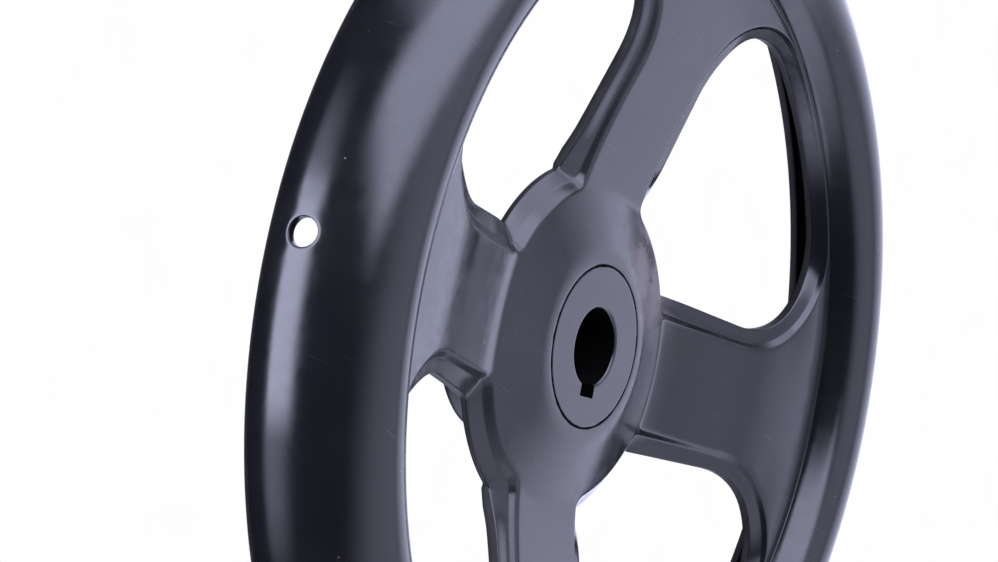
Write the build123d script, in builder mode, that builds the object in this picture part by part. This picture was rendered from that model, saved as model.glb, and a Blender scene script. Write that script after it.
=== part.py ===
from build123d import *
from math import atan, atan2, cos, hypot, radians, sin, sqrt
import os

# Pressed-steel machine handwheel. Units are millimetres.
# The origin is on the bore axis at the hub's back face, +Z points to the front,
# and the four spokes lie along +X, +Y, -X and -Y.

# Overall sizes
rim_diameter = 250.0
hub_length = 28.0
sheet = 2.0

# Turned hub
bore_diameter = 18.0
key_width = 6.0
key_depth = 2.8
key_angle = -87.2
spigot_diameter = 38.0
boss_shoulder = 5.0
bore_chamfer = 0.5
boss_chamfer = 1.0
spigot_chamfer = 0.25
weld_prep = 2.2
weld_leg = 2.0
seat_margin = 0.2

# Dished centre of the pressing, heights measured from the hub's front face
dome_slope = 0.248
land_height = 10.5
land_width = 11.3

# Rolled rim: arcs of its outer surface, each with its radius and the angle its
# surface normal has turned to, counted from +Z towards the outside
wall_angle = -90.0
crown_in_radius = 10.0
crown_in_angle = -30.0
crown_radius = 8.0
crown_angle = 20.0
outside_radius = 22.0
outside_angle = 80.0
shoulder_radius = 12.0
shoulder_angle = 105.0
curl_radius = 9.0
curl_angle = 194.0
wall_foot = 0.7
wall_set_back = 0.8

# Hole for the crank handle's fixing, through the rim's outer wall
handle_hole_diameter = 6.0
handle_hole_height = 4.0
handle_hole_angle = 180.6

# Windows between the spokes. Each has a flange that leans into it from the face.
# The hub's edge lies a set distance beyond the spokes' half width, so it grows with
# them, and the spokes start and are measured at set distances from that edge.
root_half_width = 16.0
root_flare = 1.0
tip_inset = 13.0
tip_half_width = 15.6
tip_flare = 0.33
root_flange_drop = 3.7
tip_flange_drop = 4.6
hub_edge_beyond = 26.0
hub_edge_drop = 8.0
hub_flare = 1.0
station_beyond = 8.0
spoke_root_inside = 5.1
spoke_lap = 10.0
rim_edge_inset = 1.7
rim_flange_drop = 3.9
crease_relief = 0.3
hub_corner = 3.0
rim_corner = 17.0
cut_face = 1.5

# Sizes that follow from the ones above
front = hub_length
bore_radius = bore_diameter / 2
spigot_radius = spigot_diameter / 2
boss_radius = spigot_radius + boss_shoulder
flat_radius = boss_radius - weld_prep + seat_margin
hub_edge_radius = root_half_width + hub_edge_beyond
root_station = hub_edge_radius + station_beyond
spoke_root = hub_edge_radius - spoke_root_inside
rim_outer = rim_diameter / 2
crown_reach = crown_in_radius * (sin(radians(crown_in_angle)) - sin(radians(wall_angle)))
crown_reach += crown_radius * (sin(radians(crown_angle)) - sin(radians(crown_in_angle)))
crown_reach += outside_radius * (sin(radians(outside_angle)) - sin(radians(crown_angle)))
crown_reach += shoulder_radius * (1 - sin(radians(outside_angle)))
wall_radius = rim_outer - crown_reach
crease_radius = wall_radius - wall_set_back
land_front = front + land_height
land_start = crease_radius - land_width
root_front = front - dome_slope * (spoke_root - flat_radius)
spoke_slope = (land_front - root_front) / (land_start - spoke_root)
sheet_drop = sheet / cos(atan(spoke_slope))
seat_height = front - sheet_drop
tip_station = crease_radius - tip_inset
rim_edge_radius = crease_radius - rim_edge_inset
rim_edge_height = land_front - rim_flange_drop
rim_flare = (rim_edge_inset + crease_relief) / rim_flange_drop
hub_edge_height = front - hub_edge_drop
root_growth = sheet * hypot(1, root_flare)
tip_growth = sheet * hypot(1, tip_flare)
block_radius = crease_radius + sheet
dome_edge = hub_edge_radius + 6
strip_half_width = tip_half_width + 2 * rim_corner
strip_start = spoke_root - spoke_lap
pocket_top = land_front + wall_foot
pocket_bottom = hub_edge_height - 1.2
hub_floor = hub_edge_height - cut_face
rim_floor = rim_edge_height - cut_face


def spoke_front(distance):
    """Height of a spoke's face at a distance along it from the wheel's axis."""
    height = root_front + spoke_slope * (distance - spoke_root)
    return min(height, land_front)


def half_width(distance, height, growth_root, growth_tip):
    """Half the spoke's width at the flange's surface, less the growth of its window."""
    root = root_half_width + root_flare * (spoke_front(root_station) - height) - growth_root
    tip = tip_half_width + tip_flare * (spoke_front(tip_station) - height) - growth_tip
    share = (distance - root_station) / (tip_station - root_station)
    return root + share * (tip - root)


def window_edges(lean, offset, hub_radius, rim_radius, hub_round, rim_round):
    """Outline of the window between the spokes on +X and +Y, as lines and arcs.

    The side along +X is the line at the given offset, turned by lean radians.
    """
    along = Vector(cos(lean), sin(lean))
    across = Vector(-sin(lean), cos(lean))
    hub_side = offset + hub_round
    hub_centre = across * hub_side
    hub_centre += along * sqrt((hub_radius + hub_round) ** 2 - hub_side ** 2)
    rim_side = offset + rim_round
    rim_centre = across * rim_side
    rim_centre += along * sqrt((rim_radius - rim_round) ** 2 - rim_side ** 2)
    hub_end = hub_centre * (hub_radius / hub_centre.length)
    hub_foot = hub_centre - across * hub_round
    rim_foot = rim_centre - across * rim_round
    rim_end = rim_centre * (rim_radius / rim_centre.length)
    hub_turn = (hub_end + hub_foot) * 0.5 - hub_centre
    hub_middle = hub_centre + hub_turn * (hub_round / hub_turn.length)
    rim_turn = (rim_end + rim_foot) * 0.5 - rim_centre
    rim_middle = rim_centre + rim_turn * (rim_round / rim_turn.length)
    halfway = Vector(cos(radians(45)), sin(radians(45)))
    hub_end_2 = Vector(hub_end.Y, hub_end.X)
    hub_middle_2 = Vector(hub_middle.Y, hub_middle.X)
    hub_foot_2 = Vector(hub_foot.Y, hub_foot.X)
    rim_foot_2 = Vector(rim_foot.Y, rim_foot.X)
    rim_middle_2 = Vector(rim_middle.Y, rim_middle.X)
    rim_end_2 = Vector(rim_end.Y, rim_end.X)
    ThreePointArc(hub_end_2, halfway * hub_radius, hub_end)
    ThreePointArc(hub_end, hub_middle, hub_foot)
    Line(hub_foot, rim_foot)
    ThreePointArc(rim_foot, rim_middle, rim_end)
    ThreePointArc(rim_end, halfway * rim_radius, rim_end_2)
    ThreePointArc(rim_end_2, rim_middle_2, rim_foot_2)
    Line(rim_foot_2, hub_foot_2)
    ThreePointArc(hub_foot_2, hub_middle_2, hub_end_2)


def window_sketch(height, growth_root, growth_tip):
    """Window outline of a flange surface at a height, grown by the sheet behind it."""
    root = half_width(root_station, height, growth_root, growth_tip)
    tip = half_width(tip_station, height, growth_root, growth_tip)
    lean = atan2(tip - root, tip_station - root_station)
    offset = root * cos(lean) - root_station * sin(lean)
    hub_radius = hub_edge_radius - hub_flare * (height - hub_edge_height) - growth_root
    rim_radius = rim_edge_radius + rim_flare * (height - rim_edge_height) + growth_tip
    window_edges(lean, offset, hub_radius, rim_radius, hub_corner, rim_corner)


def rim_arc(start, radius, begin_angle, end_angle):
    """Draws one of the rim's arcs between two angles of its normal; returns its end."""
    begin = radians(begin_angle)
    end = radians(end_angle)
    middle = (begin + end) / 2
    at_middle = start + Vector(sin(middle) - sin(begin), cos(middle) - cos(begin)) * radius
    at_end = start + Vector(sin(end) - sin(begin), cos(end) - cos(begin)) * radius
    ThreePointArc(start, at_middle, at_end)
    return at_end


def rim_surface(start, inset):
    """Draws the rim's outer surface, or the one a sheet's thickness inside it."""
    point = rim_arc(start, crown_in_radius - inset, wall_angle, crown_in_angle)
    point = rim_arc(point, crown_radius - inset, crown_in_angle, crown_angle)
    point = rim_arc(point, outside_radius - inset, crown_angle, outside_angle)
    point = rim_arc(point, shoulder_radius - inset, outside_angle, shoulder_angle)
    return rim_arc(point, curl_radius - inset, shoulder_angle, curl_angle)


# Solid below the front surface of the hub dome, the spokes and the land at the rim
with BuildPart() as block:
    with BuildSketch(Plane.XZ):
        with BuildLine():
            Polyline(
                (0, hub_floor),
                (dome_edge, hub_floor),
                (dome_edge, front - dome_slope * (dome_edge - flat_radius)),
                (flat_radius, front),
                (0, front),
                close=True,
            )
        make_face()
    revolve(axis=Axis.Z)
    with BuildSketch(Plane.XZ):
        with BuildLine():
            Polyline(
                (strip_start, hub_floor),
                (block_radius + 1, hub_floor),
                (block_radius + 1, land_front),
                (land_start, land_front),
                (strip_start, spoke_front(strip_start)),
                close=True,
            )
        make_face()
    strip = extrude(amount=strip_half_width, both=True, mode=Mode.PRIVATE)
    with PolarLocations(0, 4):
        add(strip)
    with BuildSketch(Plane.XZ):
        with BuildLine():
            Polyline(
                (rim_edge_radius - 2, rim_floor),
                (block_radius + 1, rim_floor),
                (block_radius + 1, land_front),
                (rim_edge_radius - 2, land_front),
                close=True,
            )
        make_face()
    revolve(axis=Axis.Z)
    with Locations((0, 0, (hub_floor + land_front) / 2)):
        Cylinder(block_radius, land_front - hub_floor + 2, mode=Mode.INTERSECT)
    with BuildSketch(Plane.XZ):
        with BuildLine():
            Polyline(
                (hub_edge_radius, hub_floor),
                (root_station, spoke_front(root_station) - root_flange_drop - cut_face),
                (tip_station, spoke_front(tip_station) - tip_flange_drop - cut_face),
                (rim_edge_radius - 3, rim_floor),
                (block_radius + 1, rim_floor),
                (block_radius + 1, hub_floor - 1),
                (hub_edge_radius, hub_floor - 1),
                close=True,
            )
        make_face()
    revolve(axis=Axis.Z, mode=Mode.SUBTRACT)

# Space in front of one window's flange, and the same grown by the sheet behind it
with BuildPart() as window_front:
    for level in (pocket_bottom, pocket_top):
        with BuildSketch(Plane.XY.offset(level)):
            with BuildLine():
                window_sketch(level, 0, 0)
            make_face()
    loft(ruled=True)

with BuildPart() as window_back:
    for level in (hub_floor - 0.5, pocket_top):
        with BuildSketch(Plane.XY.offset(level)):
            with BuildLine():
                window_sketch(level, root_growth, tip_growth)
            make_face()
    loft(ruled=True)

# Everything under the sheet that isn't flange
with BuildPart() as core:
    add(block.part.moved(Location((0, 0, -sheet_drop))))
    with PolarLocations(0, 4):
        add(window_back.part, mode=Mode.SUBTRACT)

# The pressing: dome, spokes and flanges, then the rolled rim, windows and holes
with BuildPart() as wheel_body:
    add(block.part)
    add(core.part, mode=Mode.SUBTRACT)
    with BuildSketch(Plane.XZ):
        with BuildLine():
            wall_start = Vector(wall_radius, land_front + wall_foot)
            outer_end = rim_surface(wall_start, 0)
            back_start = wall_start + Vector(sheet, 0)
            inner_end = rim_surface(back_start, sheet)
            Line(outer_end, inner_end)
            Polyline(
                wall_start,
                (crease_radius, land_front),
                (crease_radius, land_front - sheet_drop),
                (crease_radius + tip_growth - rim_flare * sheet_drop, land_front - sheet_drop),
                back_start,
            )
        make_face()
    revolve(axis=Axis.Z)
    with PolarLocations(0, 4):
        add(window_front.part, mode=Mode.SUBTRACT)
    root_cut = root_half_width + root_flare * root_flange_drop
    tip_cut = tip_half_width + tip_flare * tip_flange_drop
    cut_lean = atan2(tip_cut - root_cut, tip_station - root_station)
    cut_offset = root_cut * cos(cut_lean) - root_station * sin(cut_lean)
    with BuildSketch(Plane.XY.offset(hub_floor - 2)):
        with BuildLine():
            window_edges(cut_lean, cut_offset, hub_edge_radius, rim_edge_radius, hub_corner, rim_corner)
        make_face()
    cut = extrude(amount=land_front - hub_floor + 4, mode=Mode.PRIVATE)
    with PolarLocations(0, 4):
        add(cut, mode=Mode.SUBTRACT)
    with Locations((0, 0, front)):
        Cylinder(spigot_radius, 4 * hub_length, mode=Mode.SUBTRACT)
    with Locations(Location((0, 0, front + handle_hole_height), (0, 0, 1), handle_hole_angle)):
        with Locations(Location((rim_outer, 0, 0), (0, 1, 0), 90)):
            Cylinder(handle_hole_diameter / 2, 12, mode=Mode.SUBTRACT)

# Turned hub: its spigot fills the hole in the pressing, its boss stands behind it
with BuildPart() as hub:
    with BuildSketch(Plane.XZ):
        with BuildLine():
            Polyline(
                (0, 0),
                (boss_radius - boss_chamfer, 0),
                (boss_radius, boss_chamfer),
                (boss_radius, seat_height - weld_prep),
                (boss_radius - weld_prep, seat_height),
                (spigot_radius, seat_height),
                (spigot_radius, front - spigot_chamfer),
                (spigot_radius - spigot_chamfer, front),
                (0, front),
                close=True,
            )
        make_face()
    revolve(axis=Axis.Z)
    with Locations((0, 0, front / 2)):
        Cylinder(bore_radius, 2 * front, mode=Mode.SUBTRACT)
    with Locations((0, 0, 0)):
        Cone(
            bore_radius + bore_chamfer,
            bore_radius,
            bore_chamfer,
            align=(Align.CENTER, Align.CENTER, Align.MIN),
            mode=Mode.SUBTRACT,
        )
    with Locations((0, 0, front)):
        Cone(
            bore_radius,
            bore_radius + bore_chamfer,
            bore_chamfer,
            align=(Align.CENTER, Align.CENTER, Align.MAX),
            mode=Mode.SUBTRACT,
        )
    with BuildSketch(Plane.XY.offset(-1)):
        with Locations(Location((0, 0, 0), (0, 0, 1), key_angle)):
            Rectangle(
                bore_radius + key_depth,
                key_width,
                align=(Align.MIN, Align.CENTER),
            )
    extrude(amount=front + 2, mode=Mode.SUBTRACT)

# Weld that fills the hub's bevelled shoulder and runs out under the pressing
with BuildPart() as hub_weld:
    with BuildSketch(Plane.XZ):
        with BuildLine():
            weld_toe = boss_radius + weld_leg
            Polyline(
                (boss_radius - weld_prep, seat_height),
                (flat_radius, seat_height),
                (weld_toe, seat_height - dome_slope * (weld_toe - flat_radius)),
                (boss_radius, seat_height - weld_prep - weld_leg / 2),
                (boss_radius, seat_height - weld_prep),
                close=True,
            )
        make_face()
    revolve(axis=Axis.Z)

os.makedirs("parts", exist_ok=True)
wheel_body.part.label = "wheel_body"
export_step(wheel_body.part, "parts/wheel_body.step")
hub.part.label = "hub"
export_step(hub.part, "parts/hub.step")
hub_weld.part.label = "hub_weld"
export_step(hub_weld.part, "parts/hub_weld.step")
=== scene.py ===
import math

import bmesh
import bpy
import numpy as np
from bpy.props import FloatProperty, FloatVectorProperty, IntProperty, PointerProperty
from bpy.types import Operator, Panel, PropertyGroup
from mathutils import Matrix, Vector, noise


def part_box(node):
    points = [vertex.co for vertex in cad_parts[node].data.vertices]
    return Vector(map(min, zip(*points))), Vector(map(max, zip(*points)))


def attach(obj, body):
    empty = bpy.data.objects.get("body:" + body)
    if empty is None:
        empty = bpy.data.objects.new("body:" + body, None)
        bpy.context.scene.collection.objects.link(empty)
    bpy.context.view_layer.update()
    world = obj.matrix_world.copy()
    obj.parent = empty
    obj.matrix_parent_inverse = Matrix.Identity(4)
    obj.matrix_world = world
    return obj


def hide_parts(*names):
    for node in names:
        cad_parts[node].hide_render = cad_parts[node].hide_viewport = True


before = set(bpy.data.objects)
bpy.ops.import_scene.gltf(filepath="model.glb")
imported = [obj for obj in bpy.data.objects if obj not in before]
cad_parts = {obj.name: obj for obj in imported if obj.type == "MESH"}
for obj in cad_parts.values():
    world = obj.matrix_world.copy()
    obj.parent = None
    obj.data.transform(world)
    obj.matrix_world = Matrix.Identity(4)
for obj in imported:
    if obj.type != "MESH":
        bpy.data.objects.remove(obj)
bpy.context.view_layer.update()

bl_info = {
    "name": "Machine handwheel",
    "version": (1, 0, 0),
    "blender": (4, 5, 0),
    "location": "View3D > Sidebar > Handwheel",
    "description": "Builds a pressed steel handwheel, its turned hub, its weld and a studio round it",
    "category": "Add Mesh",
}

MM = 0.001

# Boxes of the fixed frame: the pieces built here take their main sizes from them
BODY_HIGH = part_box("wheel_body")[1]
HUB_LOW, HUB_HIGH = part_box("hub")
WELD_LOW, WELD_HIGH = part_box("hub_weld")

# Rolled rim: outer arcs from the inner wall round to the curl. Each row is the arc's
# radius and the angle its normal has turned to, in degrees from +Z towards the outside.
RIM_START = -63.4
RIM_ARCS = (
    (200 * MM, -62.0),
    (8.8 * MM, 23.3),
    (22.36 * MM, 80.0),
    (12 * MM, 105.0),
    (9 * MM, 194.0),
)
SPOKES = 4

# Slope of a spoke's face at stations from the spoke's root to the rim, each station as a
# share of that way. The slope changes evenly from one to the next, and is then scaled so
# that the face ends at the land's height.
SPOKE_SLOPES = ((0.0, 0.18), (0.15, 0.27), (0.40, 0.36), (0.70, 0.22), (1.0, 0.14))

# Lines of a window's border, from the face outwards: how far each line keeps inside the
# crease under the rim, and how much larger its corners are at the hub and at the rim
BROW_LINE = (0.3 * MM, 3.2 * MM, 3.0 * MM)
STEP_LINE = (0.7 * MM, 1.6 * MM, 1.5 * MM)
LIP_LINE = (1.7 * MM, 0.0, 0.0)

# Height of the windows' cut edge: its depth under the hub's face, then its rise for each
# unit outwards along the spoke's foot, along the spoke and by the rim, the length of the
# foot's piece, and its place by the rim, under the land and inside the crease
LIP_DEPTH = 8.0 * MM
LIP_RISES = (0.56, 0.345, 0.05)
LIP_FOOT = 7.7 * MM
LIP_LAND = (3.9 * MM, 5.0 * MM)

# The pressing's back: the sheet's thickness along Z over its thickness across, because
# the face slants, and how far the back of the land reaches out past the crease
SLANT = 1.04
LAND_REACH = 1.05 * MM

# Rows of the mesh across half a window, from the middle of the hub's arc to the middle
# of the rim's, and the rows of the fine part of a spoke's side
HUB_ROWS, CORNER_ROWS, RIM_CORNER_ROWS, RIM_ROWS = 12, 9, 22, 13
FINE_ROWS = 17

# Radius of the seam between the hub's spigot and the pressing, and the middle of the dust
# smeared on the dome's flank, in millimetres from the wheel's axis and back
SEAM_RADIUS = 19.0 * MM
SMEAR_PLACE = (25.0, 23.0, 24.5)


# ---------------------------------------------------------------------------
# Sizes and colours that a user may change
# ---------------------------------------------------------------------------


def length(label, text, default, **options):
    """A size in metres."""
    return FloatProperty(name=label, description=text, default=default, unit="LENGTH", **options)


def angle(label, text, degrees):
    """An angle, given in degrees and kept in radians."""
    return FloatProperty(name=label, description=text, default=math.radians(degrees), subtype="ANGLE")


def number(label, text, default):
    """A plain factor."""
    return FloatProperty(name=label, description=text, default=default, subtype="FACTOR")


def colour(label, text, default):
    """A linear colour."""
    return FloatVectorProperty(name=label, description=text, default=default, subtype="COLOR", min=0, max=1)


class HANDWHEEL_PG_pressing(PropertyGroup):
    """Sizes of the pressed and rolled steel body."""

    sheet: length("Sheet", "Thickness of the steel sheet", 2.0 * MM)
    hole_radius: length("Hub hole", "Radius of the hole that the hub fills", 19.0 * MM)
    hole_round: length("Hub hole round", "Rounding of that hole's front edge", 0.3 * MM)
    flat_radius: length("Flat radius", "Radius at which the dome starts to fall", 22.0 * MM)
    dome_slope: number("Dome slope", "Fall of the dome for each unit outwards", 0.248)
    spoke_root: length("Spoke root", "Distance from the axis to the crease at a spoke's foot", 36.9 * MM)
    root_round: length("Root softness", "Blend width of the crease at a spoke's foot", 0.25 * MM)
    crease_back: length("Crease set-back", "Distance of the land's end inside the rim's wall", 0.2 * MM)
    crease_rise: length("Crease rise", "Height of the fillet at the rim wall's foot", 0.6 * MM)
    brow_root: length("Brow at the root", "Half width of a spoke's level face near the hub", 13.4 * MM)
    brow_tip: length("Brow at the tip", "Half width of a spoke's level face near the rim", 12.8 * MM)
    brow_hub: length("Brow at the hub", "Radius of the dome's edge between the spokes", 36.8 * MM)
    step_root: length("Step at the root", "Half width at the foot of a spoke's step near the hub", 15.2 * MM)
    step_tip: length("Step at the tip", "Half width at the foot of a spoke's step near the rim", 15.2 * MM)
    step_hub: length("Step at the hub", "Radius at the foot of the dome's step", 38.9 * MM)
    step_drop: length("Step drop", "Height of the step inside the windows' lips", 1.75 * MM)
    lip_root: length("Lip at the root", "Half width of a spoke's cut edges near the hub", 19.2 * MM)
    lip_tip: length("Lip at the tip", "Half width of a spoke's cut edges near the rim", 17.6 * MM)
    lip_hub: length("Lip at the hub", "Radius of the cut edge round the hub", 42.0 * MM)
    hub_corner: length("Hub corner", "Radius of a window's corners at the hub", 1.6 * MM)
    rim_corner: length("Rim corner", "Radius of a window's corners at the rim", 20.0 * MM)
    cut_hub: length("Cut at the hub", "Height of the sheared face round the hub", 1.4 * MM)
    cut_foot: length("Cut at the foot", "Height of the sheared face at a spoke's foot", 2.2 * MM)
    cut_spoke: length("Cut at the spoke", "Height of the sheared face along a spoke", 2.8 * MM)
    cut_rim: length("Cut at the rim", "Height of the sheared face along the rim", 1.5 * MM)
    brow_round: length("Brow round", "Radius where the level face turns down", 2.2 * MM)
    step_round: length("Step round", "Radius at the foot of the step", 1.2 * MM)
    edge_round: length("Edge round", "Radius of the cut edge's front corner", 0.45 * MM)
    hole_diameter: length("Handle hole", "Diameter of the crank handle's hole in the rim", 6.0 * MM)
    hole_height: length("Handle hole height", "Height of that hole over the hub's front face", 4.0 * MM)
    hole_turn: angle("Handle hole turn", "Direction of that hole round the axis", 180.6)


class HANDWHEEL_PG_hub(PropertyGroup):
    """Sizes of the turned hub."""

    bore: length("Bore", "Diameter of the bore", 18.0 * MM)
    bore_chamfer: length("Bore chamfer", "Chamfer at each end of the bore", 0.5 * MM)
    key_width: length("Key width", "Width of the keyway", 6.0 * MM)
    key_depth: length("Key depth", "Depth of the keyway beyond the bore", 2.8 * MM)
    key_turn: angle("Key turn", "Direction of the keyway round the axis", -87.2)
    spigot: length("Spigot", "Diameter of the spigot in the pressing's hole", 38.0 * MM)
    spigot_chamfer: length("Spigot chamfer", "Chamfer round the spigot's front", 0.25 * MM)
    shoulder_prep: length("Weld bevel", "Bevel of the boss for the weld", 2.2 * MM)
    boss_chamfer: length("Boss chamfer", "Chamfer round the boss's back", 1.0 * MM)


class HANDWHEEL_PG_weld(PropertyGroup):
    """Sizes of the weld behind the pressing."""

    bulge: length("Bulge", "Height of the bead over its chord", 0.5 * MM)
    ripple: length("Ripple", "Height of the bead's ripples", 0.12 * MM)
    ripples: IntProperty(name="Ripples", description="Ripples round the bead", default=92, min=8)


class HANDWHEEL_PG_finish(PropertyGroup):
    """Colours and surface of the coating."""

    coat: colour("Coat", "Colour of the black coating", (0.013, 0.0132, 0.0155))
    coat_thin: colour("Thin coat", "Colour where the coating is thin", (0.020, 0.019, 0.020))
    coat_roughness: number("Coat roughness", "Roughness of the coating", 0.17)
    coat_ior: number("Coat IOR", "Index of refraction of the coating", 1.75)
    rust: colour("Rust", "Colour of the rust specks", (0.13, 0.055, 0.032))
    cut_steel: colour("Cut edge", "Colour of the sheared edges under their coating", (0.020, 0.015, 0.013))
    dust: colour("Dust", "Colour of the settled dust", (0.30, 0.29, 0.30))
    smear: colour("Smear", "Colour of the rusty dust smeared on the dome", (0.26, 0.225, 0.225))
    rust_cover: number("Rust cover", "How strongly the rust specks show", 0.45)
    smear_cover: number("Smear cover", "How strongly the smeared dust shows", 0.7)
    scratch_cover: number("Scratch cover", "How strongly the dusty scratches show", 0.35)
    # grime is the dirt in the seam round the spigot and the dark patches of the cut edges. It is also painted
    # shade: the bore's walls and the seam's narrow gap are coloured with it.
    grime_and_shade: colour("Grime", "Colour of the dirt in seams and in the bore", (0.004, 0.004, 0.004))
    peel_size: length("Peel size", "Size of the waves of the coating's orange peel", 1.3 * MM)
    peel: length("Peel height", "Height of those waves", 0.0025 * MM)
    # The seam's ring is dirt, with painted shade of the narrow gap between spigot and pressing
    seam: length("Seam", "Width of the dirt round the spigot", 0.42 * MM)


class HANDWHEEL_PG_studio(PropertyGroup):
    """Camera and lights."""

    distance: length("Camera distance", "Distance from the hub's face to the camera", 606.76 * MM)
    tilt: angle("Camera tilt", "Angle between the wheel's axis and the camera", 59.91)
    turn: angle("Camera turn", "Turn of the camera round the wheel's axis", 6.63)
    roll: angle("Camera roll", "Roll of the camera", 8.94)
    focal: number("Focal length", "Focal length in image widths", 2618.4 / 998)
    backdrop: number("Backdrop", "Brightness of the white backdrop", 1.0)
    tent: length("Tent radius", "Radius of the light tent round the wheel", 600 * MM)
    light: colour("Light", "Colour of the studio's light", (0.72, 0.742, 1.0))
    left_box: number("Left box", "Strength of the low softbox on the left", 6.0)
    left_spread: number("Left spread", "Strength of the light beside that softbox", 1.4)
    top_box: number("Top box", "Strength of the softbox above the left side", 3.6)
    top_spread: number("Top spread", "Strength of the light beside the top softbox", 2.5)
    low_wall: number("Low wall", "Strength of the light from low down above", 1.2)
    right_wall: number("Right wall", "Strength of the tent's wall below", 2.0)
    far_wall: number("Far wall", "Strength of the tent's far wall", 1.8)
    far_low: number("Far wall's foot", "Strength of the far wall low down", 2.0)
    ceiling: number("Ceiling", "Strength of the ceiling", 1.0)
    fill: number("Fill", "Strength of the light from everywhere", 0.08)


# ---------------------------------------------------------------------------
# Mesh helpers
# ---------------------------------------------------------------------------


def smooth_max(a, b, blend):
    """The larger of two heights, rounded where they cross."""
    return (a + b + np.sqrt((a - b) ** 2 + blend**2)) / 2


def smooth_min(a, b, blend):
    """The smaller of two heights, rounded where they cross."""
    return -smooth_max(-a, -b, blend)


def ease(value, low, high):
    """Smooth step from 0 at low to 1 at high."""
    share = np.clip((value - low) / (high - low), 0, 1)
    return share * share * (3 - 2 * share)


class Patchwork:
    """Vertices and faces gathered from grids that meet at their borders."""

    def __init__(self):
        self.points = []
        self.faces = []
        self.cut = []
        self.count = 0

    def add(self, points, faces, cut=0.0):
        """Adds loose points and the faces between them. cut marks a sheared surface."""
        points = np.asarray(points, float).reshape(-1, 3)
        self.points.append(points)
        self.cut.append(np.broadcast_to(np.asarray(cut, float).ravel(), len(points)).copy())
        self.faces.extend([tuple(self.count + i for i in face) for face in faces])
        self.count += len(points)

    def grid(self, points, cut=0.0):
        """Adds a grid of points, rows by columns."""
        rows, columns = points.shape[:2]
        index = np.arange(rows * columns).reshape(rows, columns)
        corners = (index[:-1, :-1], index[:-1, 1:], index[1:, 1:], index[1:, :-1])
        faces = np.stack([c.ravel() for c in corners], axis=1)
        mask = np.broadcast_to(np.asarray(cut, float), (rows, columns))
        self.add(points, faces.tolist(), mask)

    def build(self, name, merge=0.002 * MM, refine=None, sharp=None):
        """Joins the grids into one closed mesh object. refine may change the joined mesh."""
        mesh = bpy.data.meshes.new(name)
        mesh.from_pydata(np.concatenate(self.points).tolist(), [], self.faces)
        layer = mesh.attributes.new("cut_edge", "FLOAT", "POINT")
        layer.data.foreach_set("value", np.concatenate(self.cut).astype(np.float32))
        work = bmesh.new()
        work.from_mesh(mesh)
        bmesh.ops.remove_doubles(work, verts=work.verts, dist=merge)
        bmesh.ops.dissolve_degenerate(work, edges=work.edges, dist=merge / 4)
        if refine:
            refine(work)
        bmesh.ops.recalc_face_normals(work, faces=work.faces)
        work.to_mesh(mesh)
        work.free()
        mesh.shade_smooth()
        if sharp:
            mesh.set_sharp_from_angle(angle=sharp)
        piece = bpy.data.objects.new(name, mesh)
        bpy.context.scene.collection.objects.link(piece)
        return piece


def round_corner(before, corner, after, radius, steps):
    """Arc that rounds a corner of many outlines at once, as steps + 1 points.

    The arc takes at most a share, longest, of the shorter straight beside the corner.
    """
    longest, tiny = 0.46, 1e-9
    back = before - corner
    ahead = after - corner
    back_length = np.linalg.norm(back, axis=-1, keepdims=True)
    ahead_length = np.linalg.norm(ahead, axis=-1, keepdims=True)
    back = back / np.maximum(back_length, tiny)
    ahead = ahead / np.maximum(ahead_length, tiny)
    cosine = np.clip((-back * ahead).sum(-1, keepdims=True), -0.9999, 0.99999)
    turn = np.arccos(cosine)
    wanted = np.asarray(radius) * np.tan(turn / 2)
    tangent = np.minimum(wanted, longest * np.minimum(back_length, ahead_length))
    arc_radius = tangent / np.tan(turn / 2)
    inward = back + ahead
    inward = inward / np.maximum(np.linalg.norm(inward, axis=-1, keepdims=True), tiny)
    centre = corner + inward * (arc_radius / np.cos(turn / 2))
    start = corner + back * tangent - centre
    end = corner + ahead * tangent - centre
    points = []
    for step in range(steps + 1):
        share = step / steps
        swing = np.sin(turn)
        points.append(centre + (np.sin((1 - share) * turn) * start + np.sin(share * turn) * end) / swing)
    return points


def round_outline(corners, radii, steps, straights):
    """Rounds the inner corners of an open outline and divides its straights."""
    points = [corners[0]]
    for i in range(1, len(corners) - 1):
        arc = round_corner(corners[i - 1], corners[i], corners[i + 1], radii[i - 1], steps[i - 1])
        points.extend(between(points[-1], arc[0], straights[i - 1]))
        points.extend(arc)
    points.extend(between(points[-1], corners[-1], straights[-1]))
    points.append(corners[-1])
    return points


def between(first, last, count):
    """Points that divide the straight from first to last, without its ends."""
    return [first + (last - first) * (i / (count + 1)) for i in range(1, count + 1)]


def polar(radius, turn, height):
    """Points in space from a radius, a turn in radians and a height."""
    radius, turn, height = np.broadcast_arrays(radius, turn, height)
    return np.stack([radius * np.cos(turn), radius * np.sin(turn), height], axis=-1)


def all_round(points):
    """Eight copies of half a spoke's points: mirrored, then turned to each spoke."""
    mirrored = points * np.array([1, -1, 1])
    for half in (points, mirrored):
        for k in range(SPOKES):
            quarter = 2 * math.pi * k / SPOKES
            c, s = math.cos(quarter), math.sin(quarter)
            yield half @ np.array([[c, s, 0], [-s, c, 0], [0, 0, 1]])


# ---------------------------------------------------------------------------
# The pressed and rolled body
# ---------------------------------------------------------------------------


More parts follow.
